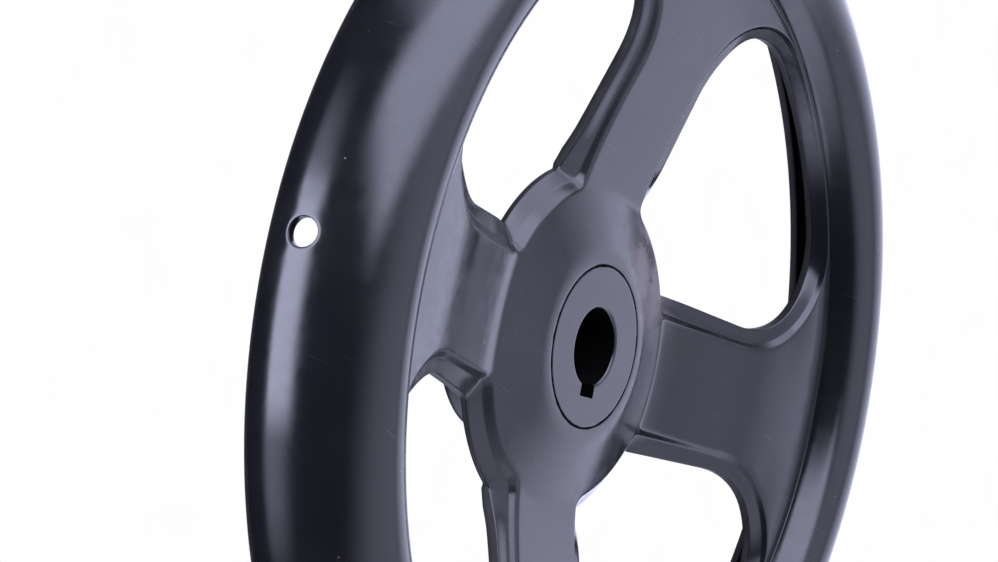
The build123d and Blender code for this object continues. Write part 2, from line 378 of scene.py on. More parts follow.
def rim_profile(turns, inset):
    """Radius and height of the rim's section where its normal has the given angles."""
    turns = np.atleast_1d(np.asarray(turns, float))
    starts = [RIM_START] + [end for _, end in RIM_ARCS]
    reach = sum(r * (math.sin(math.radians(e)) - math.sin(math.radians(s)))
                for (r, e), s in zip(RIM_ARCS[:3], starts))
    reach += RIM_ARCS[3][0] * (1 - math.sin(math.radians(starts[3])))
    first, rest = RIM_ARCS[0], RIM_ARCS[1]
    begin, end = math.radians(RIM_START), math.radians(first[1])
    rise = first[0] * (math.cos(end) - math.cos(begin)) + rest[0] * (1 - math.cos(end))
    radius = np.full(len(turns), BODY_HIGH.x - reach - inset * math.sin(begin))
    height = np.full(len(turns), BODY_HIGH.z - rise - inset * math.cos(begin))
    for (arc, end), start in zip(RIM_ARCS, starts):
        part = np.radians(np.clip(turns, start, end))
        begin = math.radians(start)
        radius = radius + (arc - inset) * (np.sin(part) - math.sin(begin))
        height = height + (arc - inset) * (np.cos(part) - math.cos(begin))
    return radius, height


def body_sizes(sizes):
    """Sizes of the pressing that follow from the user's sizes and the frame."""
    wall, foot = rim_profile([RIM_START], 0)
    crease = wall[0] - sizes.crease_back
    return {"wall": wall[0], "foot": foot[0], "crease": crease, "land": foot[0] - sizes.crease_rise,
            "root": HUB_HIGH.z - sizes.dome_slope * (sizes.spoke_root - sizes.flat_radius),
            "root_station": sizes.lip_hub + 8 * MM, "tip_station": crease - 13 * MM}


def spoke_height(sizes, more, along):
    """Height of a spoke's face at distances from the axis, scaled to end at the land."""
    reach = more["crease"] - sizes.spoke_root
    share = (along - sizes.spoke_root) / reach
    rise = SPOKE_SLOPES[0][1] * np.minimum(share, 0)
    whole = 0
    for (start, first), (end, last) in zip(SPOKE_SLOPES, SPOKE_SLOPES[1:]):
        part = np.clip(share - start, 0, end - start)
        rise = rise + part * (first + (last - first) * part / (2 * (end - start)))
        whole += (first + last) / 2 * (end - start)
    return more["root"] + (more["land"] - more["root"]) * rise / whole


def face_height(sizes, more, x, y):
    """Front surface of the pressing: dome, spokes and the land under the rim."""
    dome_blend = 1.5 * MM
    bend, level = more["crease"] - 16 * MM, more["crease"] - 3 * MM
    radius = np.hypot(x, y)
    dome = HUB_HIGH.z - sizes.dome_slope * (smooth_max(radius - sizes.flat_radius, 0, dome_blend))
    along = np.maximum(np.abs(x), np.abs(y))
    along = along + (radius - along) * ease(radius, bend, level)
    spoke = spoke_height(sizes, more, along)
    face = smooth_max(dome, spoke, sizes.root_round)
    return face + (more["land"] - face) * ease(radius, level, more["crease"])


def lip_height(sizes, more, radius):
    """Height of the windows' cut edge, front corner, by its distance from the axis."""
    by_hub, along_spoke, by_rim = LIP_RISES
    foot_blend, rim_blend, spoke_blend = 0.5 * MM, 0.3 * MM, 2.0 * MM
    hub = HUB_HIGH.z - LIP_DEPTH
    near = hub + by_hub * (radius - sizes.lip_hub)
    middle = hub + by_hub * LIP_FOOT + along_spoke * (radius - sizes.lip_hub - LIP_FOOT)
    rim = more["land"] - LIP_LAND[0]
    far = rim + by_rim * (radius - more["crease"] + LIP_LAND[1])
    return smooth_min(smooth_min(near, middle, foot_blend), smooth_min(far, rim, rim_blend), spoke_blend)


def window_line(more, root_half, tip_half, hub_radius, rim_radius, hub_round, rim_round, shares):
    """Half of a window's outline, from the middle of the hub's arc to the middle of the rim's.

    Returns its points and the directions into the window, as flat arrays.
    """
    lean = math.atan2(tip_half - root_half, more["tip_station"] - more["root_station"])
    offset = root_half * math.cos(lean) - more["root_station"] * math.sin(lean)
    along = np.array([math.cos(lean), math.sin(lean)])
    across = np.array([-math.sin(lean), math.cos(lean)])
    hub_side = offset + hub_round
    hub_centre = across * hub_side + along * math.sqrt((hub_radius + hub_round) ** 2 - hub_side**2)
    rim_side = offset + rim_round
    rim_centre = across * rim_side + along * math.sqrt((rim_radius - rim_round) ** 2 - rim_side**2)
    hub_turn = math.atan2(hub_centre[1], hub_centre[0])
    rim_turn = math.atan2(rim_centre[1], rim_centre[0])
    eighth = math.pi / SPOKES
    points, inward = [], []

    def arc(centre, radius, begin, end, part, sign):
        turns = begin + (end - begin) * part
        spoke = np.stack([np.cos(turns), np.sin(turns)], axis=1)
        points.append(centre + radius * spoke)
        inward.append(sign * spoke)

    arc(np.zeros(2), hub_radius, eighth, hub_turn, shares[0], 1)
    arc(hub_centre, hub_round, hub_turn + math.pi, lean + 1.5 * math.pi, shares[1], -1)
    foot = hub_centre - across * hub_round
    top = rim_centre - across * rim_round
    points.append(foot + (top - foot) * shares[2][:, None])
    inward.append(np.repeat(across[None], len(shares[2]), axis=0))
    arc(rim_centre, rim_round, lean - math.pi / 2, rim_turn, shares[3], -1)
    arc(np.zeros(2), rim_radius, rim_turn, eighth, shares[4], -1)
    return np.concatenate(points), np.concatenate(inward)


def side_shares(total, fine, fine_length, coarse):
    """Shares along a spoke's side: fine steps by the hub, then growing ones."""
    steps = [0.0]
    while steps[-1] < total:
        past = steps[-1] - fine_length
        steps.append(steps[-1] + fine + (coarse - fine) * min(max(past / (3 * fine_length), 0), 1))
    return np.array(steps[:-1]) / steps[-1]


def half_window(sizes, more):
    """Lines of points along half a window, from the face over its border to the back.

    They are, from the front: start, where the face ends; brow, where it turns down; step,
    the foot of the step; lip, the cut edge's front corner; heel and toe, the sheared face's
    foot and the back's first corner; sole and instep, the backs of the step and the brow;
    and back, under start.
    """
    margin_rim, margin_more, wall_share = 0.3 * MM, 1.5 * MM, 0.3
    side = side_shares(total=40 * MM, fine=0.35 * MM, fine_length=6 * MM, coarse=2.2 * MM)
    shares = [np.arange(HUB_ROWS) / HUB_ROWS, np.arange(CORNER_ROWS) / CORNER_ROWS, side,
              np.arange(RIM_CORNER_ROWS) / RIM_CORNER_ROWS, np.arange(RIM_ROWS + 1) / RIM_ROWS]

    def plan_of(name, line):
        inside, hub_more, rim_more = line
        root, tip, hub = (getattr(sizes, f"{name}_{end}") for end in ("root", "tip", "hub"))
        return window_line(more, root, tip, hub, more["crease"] - inside,
                           sizes.hub_corner + hub_more, sizes.rim_corner + rim_more, shares)

    def on_face(plan):
        return np.column_stack([plan, face_height(sizes, more, plan[:, 0], plan[:, 1])])

    brow_plan, inward = plan_of("brow", BROW_LINE)
    step_plan, _ = plan_of("step", STEP_LINE)
    lip_plan, _ = plan_of("lip", LIP_LINE)
    # Stretches of the half window: 0 to 1 is the hub's arc, 1 to 2 its corner, 2 to 3 the
    # spoke's side, 3 to 4 the rim's corner and 4 to 5 the rim's arc
    part = np.concatenate([k + s for k, s in enumerate(shares)])
    to_rim = ease(part, 3, 4)

    margin = margin_rim + margin_more * (1 - to_rim)
    start = on_face(brow_plan - inward * margin[:, None])
    brow = on_face(brow_plan)
    lip = np.column_stack([lip_plan, lip_height(sizes, more, np.hypot(lip_plan[:, 0], lip_plan[:, 1]))])
    step = on_face(step_plan)
    step[:, 2] -= sizes.step_drop
    on_wall = brow[:, 2] + (lip[:, 2] - brow[:, 2]) * wall_share
    step[:, 2] += (on_wall - step[:, 2]) * to_rim
    # Height of the sheared face at places along those stretches
    cuts = ((0, sizes.cut_hub), (1.2, sizes.cut_hub), (2.0, sizes.cut_foot), (2.15, sizes.cut_spoke),
            (3, sizes.cut_spoke), (4, sizes.cut_rim))
    cut = np.interp(part, *zip(*cuts))
    window = {"start": start, "brow": brow, "step": step, "lip": lip}
    window.update(window_back(sizes, more, window, cut))
    window["rows"] = (HUB_ROWS, CORNER_ROWS, len(side), RIM_CORNER_ROWS)
    return window


def window_back(sizes, more, window, cut):
    """Lines of points along half a window, behind its cut edge."""
    start, brow, step, lip = (window[name] for name in ("start", "brow", "step", "lip"))
    sheet = sizes.sheet
    least_run, gap = 0.25 * MM, 0.1 * MM

    def slope_angle(first, second):
        run = np.linalg.norm(second[:, :2] - first[:, :2], axis=1)
        return np.arctan2(first[:, 2] - second[:, 2], run)

    def offset(points, lean, size):
        move = outward * (np.sin(lean) * size)[:, None]
        return np.column_stack([points[:, :2] - move, points[:, 2] - np.cos(lean) * size])

    outward = lip[:, :2] - brow[:, :2]
    outward = outward / np.linalg.norm(outward, axis=1)[:, None]
    steep, shallow = slope_angle(brow, step), slope_angle(step, lip)
    heel = lip - np.column_stack([0 * cut, 0 * cut, cut])
    sole_run = np.maximum(sheet / np.sin(shallow) - cut / np.tan(shallow), least_run)
    toe = np.column_stack([heel[:, :2] - outward * sole_run[:, None], heel[:, 2]])
    sole = offset(step, (steep + shallow) / 2, sheet / np.cos((steep - shallow) / 2))
    back = stretch_back(more, start) - [0, 0, sheet * SLANT]
    instep = offset(brow, steep / 2, sheet / np.cos(steep / 2))
    room = np.linalg.norm(back[:, :2] - brow[:, :2], axis=1) - gap
    shift = np.linalg.norm(instep[:, :2] - brow[:, :2], axis=1)
    instep[:, :2] = brow[:, :2] + (instep[:, :2] - brow[:, :2]) * np.minimum(room / shift, 1)[:, None]
    return {"heel": heel, "toe": toe, "sole": sole, "instep": instep, "back": back}


def stretch_back(more, points):
    """Spreads the back of the land outwards, to where it meets the rim's back."""
    land_width = 9 * MM
    radius = np.hypot(points[..., 0], points[..., 1])
    share = ease(radius, more["crease"] - land_width, more["crease"])
    moved = points.copy()
    moved[..., :2] *= (1 + share * LAND_REACH / np.maximum(radius, MM))[..., None]
    return moved


def window_border(window, sizes):
    """Grid of points from the face, over the step and the cut edge, to the back.

    Returns it with a mask that is 1 on the sheared face.
    """
    names = ("start", "brow", "step", "lip", "heel", "toe", "sole", "instep", "back")
    corners = [window[name] for name in names]
    back_edge, back_bend = 0.25 * MM, 1.0 * MM
    # For each corner its radius and the steps of its arc, and for each straight the number
    # of points that divide it
    radii = [sizes.brow_round, sizes.step_round, sizes.edge_round, back_edge, back_edge, back_bend, back_bend]
    steps = [6, 4, 4, 2, 1, 2, 2]
    straights = [0, 1, 2, 1, 0, 1, 0, 0]
    grid = np.stack(round_outline(corners, radii, steps, straights), axis=1)
    # Columns where the arcs end; the sheared face starts in the middle of the lip's arc
    ends = np.cumsum([1] + [straight + step + 1 for straight, step in zip(straights, steps)])
    half_lip = steps[2] // 2 + 1
    mask = np.zeros(grid.shape[:2])
    mask[:, ends[2] + straights[2] + half_lip: ends[5]] = 1
    return grid, mask


def face_rows(window, sizes, more, columns):
    """Plan of the face of half a spoke: turns and radii of its rows and columns."""
    border = window["start"][: sum(window["rows"]) + 1]
    hub_rows, corner_rows, side_rows, rim_corner_rows = window["rows"]
    side_start = hub_rows + corner_rows
    border_radius = np.hypot(border[:, 0], border[:, 1])
    border_turn = np.arctan2(border[:, 1], border[:, 0])
    inner_rows, crowding, lead = 10, 1.2, 0.55
    inner = sizes.hole_radius + sizes.hole_round
    spread = (np.arange(inner_rows) / inner_rows) ** crowding
    outer_radius = np.concatenate([inner + (border_radius[0] - inner) * spread, border_radius])
    outer_turn = np.concatenate([np.full(inner_rows, math.pi / SPOKES), border_turn])
    marks = np.cumsum([0, inner_rows, hub_rows, corner_rows,
                       FINE_ROWS, side_rows - FINE_ROWS, rim_corner_rows])
    # Where the rows cross the middle of the spoke, at those marks
    stations = [
        inner,
        inner + lead * (border_radius[0] - inner),
        border_radius[0] - 3.5 * MM,
        border[side_start, 0] - 0.6 * MM,
        border[side_start + FINE_ROWS, 0] + 0.4 * MM,
        border[side_start + side_rows, 0] + 4 * MM,
        more["crease"],
    ]
    axis_radius = np.interp(np.arange(len(outer_radius)), marks, stations)
    share = np.linspace(0, 1, columns + 1)
    radius = axis_radius[:, None] * (1 - share) + outer_radius[:, None] * share
    turn = outer_turn[:, None] * share
    return radius, turn


def rim_rows(sizes, more, turns):
    """Rim surface from the crease, over the crown and the curl, back to the land's back.

    Returns it with a mask that is 1 on the curl's sheared end.
    """
    arc_step, least_steps, inner_rows, foot_steps = 4.5, 4, 36, 5
    outer = [RIM_START]
    for (_, end), start in zip(RIM_ARCS, [RIM_START] + [e for _, e in RIM_ARCS]):
        count = max(least_steps, math.ceil((end - start) / arc_step))
        outer.extend(start + (end - start) * (k + 1) / count for k in range(count))
    swing = math.radians(-RIM_START)
    part = np.linspace(0, swing, foot_steps + 1)[:-1]
    foot = (more["crease"] + (more["wall"] - more["crease"]) * np.sin(part) / math.sin(swing),
            more["land"] + sizes.crease_rise * (1 - np.cos(part)) / (1 - math.cos(swing)))
    outside = rim_profile(outer, 0)
    inside = rim_profile(np.linspace(RIM_ARCS[-1][1], RIM_START, inner_rows), sizes.sheet)
    end_points = curl_end(outside, inside)
    back_land = ([more["crease"] + LAND_REACH], [more["land"] - sizes.sheet * SLANT])
    radius, height = (np.concatenate([foot[i], outside[i][:-1], end_points[i], inside[i][1:], back_land[i]])
                      for i in (0, 1))
    grid = polar(radius[:, None], turns[None, :], height[:, None])
    cut = np.zeros(len(radius))
    first = len(foot[0]) + len(outside[0]) - 1
    cut[first: first + len(end_points[0])] = 1
    return grid, cut[:, None]


def curl_end(outside, inside):
    """Radii and heights across the rolled edge's sheared end, with its corners eased."""
    start = np.array([outside[0][-1], outside[1][-1]])
    end = np.array([inside[0][0], inside[1][0]])
    back = np.array([outside[0][-2], outside[1][-2]]) - start
    reach = 0.35 * MM
    back = back / np.linalg.norm(back) * reach
    across = (end - start) / np.linalg.norm(end - start) * reach
    corner = 0.3
    points = np.array([
        start + back,
        start + (back + across) * corner,
        start + across,
        (start + end) / 2,
        end - across,
        end + (back - across) * corner,
        end + back,
    ])
    return points[:, 0], points[:, 1]


def build_body(sizes):
    """Pressing, rolled rim and window borders as one closed skin."""
    columns = 16
    more = body_sizes(sizes)
    window = half_window(sizes, more)
    border, border_cut = window_border(window, sizes)
    radius, turn = face_rows(window, sizes, more, columns)
    front = polar(radius, turn, 0)
    front[..., 2] = face_height(sizes, more, front[..., 0], front[..., 1])
    back = stretch_back(more, front)
    back[..., 2] = front[..., 2] - sizes.sheet * SLANT
    hole = hub_hole(sizes, front[0], back[0])
    rim_first = sum(window["rows"])
    rim_turns = np.arctan2(border[rim_first:, 0, 1], border[rim_first:, 0, 0])
    rim, rim_cut = rim_rows(sizes, more, np.concatenate([turn[-1], rim_turns[1:]]))
    patchwork = Patchwork()
    for part, cut in ((front, 0), (back, 0), (hole, 0), (border, border_cut), (rim, rim_cut)):
        for copy in all_round(part):
            patchwork.grid(copy, cut)
    return patchwork.build("pressed_body", refine=lambda work: open_handle_hole(work, sizes))


def open_handle_hole(work, sizes):
    """Cuts the crank handle's hole through the rim's outer wall, with fine cells round it."""
    middle = HUB_HIGH.z + sizes.hole_height
    axis = Vector((math.cos(sizes.hole_turn), math.sin(sizes.hole_turn), 0))
    side = Vector((-axis.y, axis.x, 0))
    patch = 7.5 * MM
    outer_wall = 0.88 * BODY_HIGH.x

    def flat(point):
        return BODY_HIGH.x * point.dot(side) / point.dot(axis), point.z - middle

    def in_patch(face):
        centre = face.calc_center_median()
        across, up = flat(centre)
        return centre.dot(axis) > outer_wall and abs(across) < patch and abs(up) < patch

    bmesh.ops.delete(work, geom=[face for face in work.faces if in_patch(face)], context="FACES")
    borders = border_loops(work)
    circles = []
    for inset, sign, outermost in ((0, -1, max), (sizes.sheet, 1, min)):
        loops = hole_loops(work, sizes, inset, sign, axis, middle)
        border = outermost(borders, key=lambda rim: sum(v.co.dot(axis) for v in rim) / len(rim))
        join_loops(work, border, loops[0], flat)
        for first, second in zip(loops, loops[1:]):
            join_even(work, first, second)
        circles.append(loops[-1])
    join_even(work, *circles)


def hole_loops(work, sizes, inset, sign, axis, middle):
    """Loops of vertices on one skin of the rim, closing in on the handle hole's eased edge."""
    count = 48
    easing = 0.25 * MM
    bevel = easing * (1 - math.sqrt(0.5))
    side = Vector((-axis.y, axis.x, 0))
    # The outer wall's section, from under the crown to past the widest place
    turns = np.linspace(RIM_ARCS[1][1] + 20, RIM_ARCS[3][1] + 40, 400)
    skin_radius, skin_height = rim_profile(turns, inset)
    loops = []
    for grow, depth in ((2.0 * MM, 0), (0.8 * MM, 0), (easing, 0), (bevel, bevel), (0, easing)):
        radius = sizes.hole_diameter / 2 + grow
        loop = []
        for k in range(count):
            turn = 2 * math.pi * k / count
            across = radius * math.cos(turn)
            height = middle + radius * math.sin(turn)
            skin = np.interp(height, skin_height[::-1], skin_radius[::-1])
            out = math.sqrt(skin**2 - across**2) + sign * depth
            loop.append(work.verts.new(axis * out + side * across + Vector((0, 0, height))))
        loops.append(loop)
    return loops


def border_loops(work):
    """Closed loops of vertices along the mesh's open borders."""
    open_edges = {edge for edge in work.edges if len(edge.link_faces) == 1}
    loops = []
    while open_edges:
        edge = open_edges.pop()
        loop = [edge.verts[0], edge.verts[1]]
        while True:
            ahead = next((e for e in loop[-1].link_edges if e in open_edges), None)
            if ahead is None:
                break
            open_edges.discard(ahead)
            loop.append(ahead.other_vert(loop[-1]))
        loops.append(loop[:-1] if loop[0] is loop[-1] else loop)
    return loops


def join_even(work, first, second):
    """Quads between two loops of equal length."""
    count = len(first)
    for k in range(count):
        work.faces.new((first[k], first[(k + 1) % count], second[(k + 1) % count], second[k]))


def join_loops(work, outer, inner, flat):
    """Triangles between two loops round the same centre, ordered by their direction.

    flat gives a point's place in the plane that the direction is measured in.
    """

    def sorted_loop(loop):
        pairs = [(math.atan2(*reversed(flat(v.co))), v) for v in loop]
        return sorted(pairs, key=lambda pair: pair[0])

    a, b = sorted_loop(outer), sorted_loop(inner)
    i = j = 0
    while i < len(a) or j < len(b):
        next_a = a[(i + 1) % len(a)][0] + (2 * math.pi if i + 1 >= len(a) else 0)
        next_b = b[(j + 1) % len(b)][0] + (2 * math.pi if j + 1 >= len(b) else 0)
        here_a, here_b = a[i % len(a)][1], b[j % len(b)][1]
        if j >= len(b) or (i < len(a) and next_a <= next_b):
            work.faces.new((here_a, a[(i + 1) % len(a)][1], here_b))
            i += 1
        else:
            work.faces.new((here_a, b[(j + 1) % len(b)][1], here_b))
            j += 1


def hub_hole(sizes, front, back):
    """Wall of the hole that holds the hub, with its front edge rounded."""
    turn = np.arctan2(front[:, 1], front[:, 0])
    quarter = np.radians(np.linspace(0, 90, 4))
    rows = [polar(sizes.hole_radius + sizes.hole_round * (1 - np.sin(q)), turn,
                  front[:, 2] - sizes.hole_round * (1 - np.cos(q))) for q in quarter]
    rows.append(polar(sizes.hole_radius, turn, back[:, 2]))
    rows.append(back)
    return np.stack(rows)


# ---------------------------------------------------------------------------
# Hub and weld
# ---------------------------------------------------------------------------


def bore_radius(sizes, turns, grow):
    """Radius of the bore and its keyway in each direction, grown by a chamfer."""
    bore = sizes.bore / 2 + grow
    key_bottom = sizes.bore / 2 + sizes.key_depth
    half = sizes.key_width / 2
    turns = (turns - sizes.key_turn + math.pi) % (2 * math.pi) - math.pi
    near = np.abs(turns) < math.pi / 3
    safe = np.maximum(np.abs(np.sin(turns)), 1e-6)
    slot = np.minimum(half / safe, key_bottom / np.maximum(np.cos(turns), 1e-3))
    return np.where(near, np.maximum(bore, slot), bore)


def hub_turns(sizes):
    """Directions for the hub's mesh: even ones, and the keyway's corners."""
    key_bottom = sizes.bore / 2 + sizes.key_depth
    half = sizes.key_width / 2
    corners = [math.asin(half / (sizes.bore / 2)), math.asin(half / (sizes.bore / 2 + sizes.bore_chamfer)),
               math.atan2(half, key_bottom)]
    special = [sizes.key_turn + s * c for c in corners for s in (-1, 1)]
    count, close = 144, math.radians(0.9)
    even = [2 * math.pi * k / count for k in range(count)]
    kept = [t for t in even if all(abs((t - s + math.pi) % (2 * math.pi) - math.pi) > close for s in special)]
    return np.array(sorted(t % (2 * math.pi) for t in kept + special))


def build_hub(sizes, weld_seat):
    """Turned hub with its bore, keyway, spigot and bevelled boss."""
    turns = hub_turns(sizes)
    turns = np.append(turns, turns[0] + 2 * math.pi)
    front, back = HUB_HIGH.z, HUB_LOW.z
    spigot, boss = sizes.spigot / 2, HUB_HIGH.x
    chamfer = sizes.bore_chamfer
    # Sizes of the eased corners, and how far from a corner the faces' next loops lie
    ease_in, spigot_ease, spigot_middle = 0.12 * MM, 0.05 * MM, 0.3
    by_bore, by_spigot, by_boss, inner_loop = 0.6 * MM, 0.5 * MM, 1.2 * MM, 2.5 * MM
    seat_edge = 0.1 * MM

    def ring(radius, height):
        return polar(np.full(len(turns), radius), turns, height)

    def bore_ring(grow, height):
        return polar(bore_radius(sizes, turns, grow), turns, height)

    rows = [
        bore_ring(0, (front + back) / 2),
        bore_ring(0, front - chamfer - ease_in),
        bore_ring(ease_in / 3, front - chamfer + ease_in / 3),
        bore_ring(chamfer - ease_in / 3, front - ease_in / 3),
        bore_ring(chamfer + ease_in, front),
        bore_ring(chamfer + by_bore, front),
        ring(spigot - inner_loop, front),
        ring(spigot - sizes.spigot_chamfer - by_spigot, front),
        ring(spigot - sizes.spigot_chamfer - spigot_ease, front),
        ring(spigot - sizes.spigot_chamfer * spigot_middle, front - sizes.spigot_chamfer * spigot_middle),
        ring(spigot, front - sizes.spigot_chamfer - spigot_ease),
        ring(spigot, weld_seat + seat_edge),
        ring(spigot, weld_seat),
        ring(boss - sizes.shoulder_prep, weld_seat),
        ring(boss, weld_seat - sizes.shoulder_prep),
        ring(boss, weld_seat - sizes.shoulder_prep - by_boss),
        ring(boss, back + sizes.boss_chamfer + by_boss),
        ring(boss, back + sizes.boss_chamfer + ease_in),
        ring(boss - ease_in / 3, back + sizes.boss_chamfer - ease_in / 3),
        ring(boss - sizes.boss_chamfer + ease_in / 3, back + ease_in / 3),
        ring(boss - sizes.boss_chamfer - ease_in, back),
        ring(boss - sizes.boss_chamfer - by_boss, back),
        bore_ring(chamfer + by_bore, back),
        bore_ring(chamfer + ease_in, back),
        bore_ring(chamfer - ease_in / 3, back + ease_in / 3),
        bore_ring(ease_in / 3, back + chamfer - ease_in / 3),
        bore_ring(0, back + chamfer + ease_in),
        bore_ring(0, (front + back) / 2),
    ]
    patchwork = Patchwork()
    patchwork.grid(np.stack(rows))
    return patchwork.build("turned_hub", sharp=math.radians(35))


def build_weld(sizes, hub_sizes, weld_seat):
    """Rippled bead that fills the boss's bevel and runs out under the pressing."""
    boss = HUB_HIGH.x
    foot = WELD_LOW.z
    toe_inside, toe_under, foot_over = 0.4 * MM, 0.95 * MM, 0.25 * MM
    wander_height, wander_rate, wander_place = 0.35 * MM, 6, 2.5
    count = 4 * sizes.ripples
    turns = np.linspace(0, 2 * math.pi, count + 1)
    phase = turns * sizes.ripples
    circle = polar(wander_rate, turns, wander_place)
    wander = wander_height * np.array([noise.noise(Vector(place)) for place in circle])
    wander[-1] = wander[0]
    crest = sizes.ripple * (0.5 + 0.5 * np.cos(phase))

    def section(radius, height):
        return np.column_stack([np.broadcast_to(radius, count + 1), np.broadcast_to(height, count + 1)])

    outer = section(WELD_HIGH.x - toe_inside + wander, WELD_HIGH.z - toe_under)
    lower = section(boss, foot + foot_over + wander)
    root = section(boss - hub_sizes.shoulder_prep, weld_seat)
    chord = outer - lower
    normal = np.column_stack([chord[:, 1], -chord[:, 0]])
    normal = normal / np.linalg.norm(normal, axis=1)[:, None]
    rows = [root]
    steps = 9
    for k in range(steps + 1):
        share = k / steps
        lift = (sizes.bulge + crest * math.sin(math.pi * share)) * math.sin(math.pi * share)
        rows.append(lower + chord * share + normal * lift[:, None])
    rows.append(root)
    grid = np.stack([polar(row[:, 0], turns, row[:, 1]) for row in rows])
    patchwork = Patchwork()
    patchwork.grid(grid)
    return patchwork.build("hub_weld_bead")


# ---------------------------------------------------------------------------
# Materials
# ---------------------------------------------------------------------------


def feed(tree, slot, given):
    """Links a socket to an input, or sets the input to a value or a colour."""
    if isinstance(given, bpy.types.NodeSocket):
        tree.links.new(given, slot)
    else:
        slot.default_value = (*given, 1) if slot.type == "RGBA" else given


def node(tree, kind, **values):
    """Adds a node, with its properties and inputs given by name."""
    made = tree.nodes.new(kind)
    for name, value in values.items():
        if name in made.inputs:
            feed(tree, made.inputs[name], value)
        else:
            setattr(made, name, value)
    return made


class Group:
    """A shader node group under construction, with named inputs and one named value put out."""

    KINDS = {"value": "NodeSocketFloat", "vector": "NodeSocketVector"}

    def __init__(self, name, output, **inputs):
        self.tree = bpy.data.node_groups.new(name, "ShaderNodeTree")
        sockets = self.tree.interface
        for label, kind in inputs.items():
            sockets.new_socket(label.replace("_", " "), in_out="INPUT", socket_type=self.KINDS[kind])
        sockets.new_socket(output, in_out="OUTPUT", socket_type=self.KINDS["value"])
        self.given = self.tree.nodes.new("NodeGroupInput")
        self.result = self.tree.nodes.new("NodeGroupOutput")

    def input(self, label):
        """The socket that a named input arrives at."""
        return self.given.outputs[label]

    def put_out(self, value):
        """Puts a value out and returns the group's tree."""
        self.tree.links.new(value, self.result.inputs[0])
        return self.tree


def maths(tree, operation, *values):
    """A math node's result from sockets or numbers."""
    made = node(tree, "ShaderNodeMath", operation=operation)
    for slot, value in zip(made.inputs, values):
        feed(tree, slot, value)
    return made.outputs[0]


def ramp(tree, value, low, high, start=0.0, end=1.0):
    """A value that runs smoothly from start to end while the given one runs from low to high."""
    made = node(tree, "ShaderNodeMapRange", interpolation_type="SMOOTHSTEP", Value=value)
    for label, given in (("From Min", low), ("From Max", high), ("To Min", start), ("To Max", end)):
        feed(tree, made.inputs[label], given)
    return made.outputs["Result"]


def noise_value(tree, place, scale, detail=2.0, roughness=0.5):
    """Noise between about 0 and 1 at a place."""
    made = node(tree, "ShaderNodeTexNoise", Vector=place, Scale=scale, Detail=detail, Roughness=roughness)
    return made.outputs["Fac"]


def mix_colour(tree, share, first, second):
    """Blend of two colours, each a socket or a colour."""
    made = node(tree, "ShaderNodeMix", data_type="RGBA")
    for slot, given in ((made.inputs[0], share), (made.inputs[6], first), (made.inputs[7], second)):
        feed(tree, slot, given)
    return made.outputs[2]


def axis_parts(tree, place):
    """A place's distance from the wheel's axis, and its height along the axis."""
    apart = node(tree, "ShaderNodeSeparateXYZ", Vector=place)
    squares = [maths(tree, "POWER", apart.outputs[axis], 2.0) for axis in ("X", "Y")]
    return maths(tree, "SQRT", maths(tree, "ADD", *squares)), apart.outputs["Z"]


def speck_group():
    """Node group: round specks of uneven size, thicker in patches."""
    group = Group("Specks", "Mask", Place="vector", Spacing="value", Size="value", Patches="value",
                  Cover="value")
    tree = group.tree
    place = group.input("Place")
    rate = maths(tree, "DIVIDE", 1.0, group.input("Spacing"))
    cells = node(tree, "ShaderNodeTexVoronoi", Vector=place, Scale=rate)
    chance = node(tree, "ShaderNodeSeparateColor", Color=cells.outputs["Color"])
    size = maths(tree, "MULTIPLY", group.input("Size"), chance.outputs[0])
    size = maths(tree, "MULTIPLY", size, rate)
    spot = ramp(tree, cells.outputs["Distance"], size, maths(tree, "MULTIPLY", size, 0.5))
    patches = noise_value(tree, place, maths(tree, "DIVIDE", 1.0, group.input("Patches")), detail=3.0)
    limit = maths(tree, "SUBTRACT", 1.0, group.input("Cover"))
    there = maths(tree, "GREATER_THAN", maths(tree, "MULTIPLY", patches, chance.outputs[1]), limit)
    return group.put_out(maths(tree, "MULTIPLY", spot, there))


def peel_group():
    """Node group: height of the orange peel that a sprayed coat dries with."""
    group = Group("Orange peel", "Height", Place="vector", Size="value", Height="value")
    tree = group.tree
    broad_rate, broad_height = 0.12, 4.0
    place = group.input("Place")
    rate = maths(tree, "DIVIDE", 1.0, group.input("Size"))
    fine = noise_value(tree, place, rate, detail=1.5)
    broad = noise_value(tree, place, maths(tree, "MULTIPLY", rate, broad_rate), detail=1.0)
    both = maths(tree, "ADD", fine, maths(tree, "MULTIPLY", broad, broad_height))
    return group.put_out(maths(tree, "MULTIPLY", both, group.input("Height")))


def scratch_group():
    """Node group: short fine scratches along one direction, in patches."""
    group = Group("Scratches", "Mask", Place="vector", Turn="value", Length="value", Width="value",
                  Cover="value")
    tree = group.tree
    edge = 0.08
    turned = node(tree, "ShaderNodeVectorRotate", rotation_type="Z_AXIS",
                  Vector=group.input("Place"), Angle=group.input("Turn"))
    apart = node(tree, "ShaderNodeSeparateXYZ", Vector=turned.outputs[0])
    joined = node(tree, "ShaderNodeCombineXYZ",
                  X=maths(tree, "DIVIDE", apart.outputs["X"], group.input("Length")),
                  Y=maths(tree, "DIVIDE", apart.outputs["Y"], group.input("Width")))
    grain = noise_value(tree, joined.outputs[0], 1.0, detail=1.0)
    limit = maths(tree, "SUBTRACT", 1.0, group.input("Cover"))
    return group.put_out(ramp(tree, grain, limit, maths(tree, "ADD", limit, edge)))


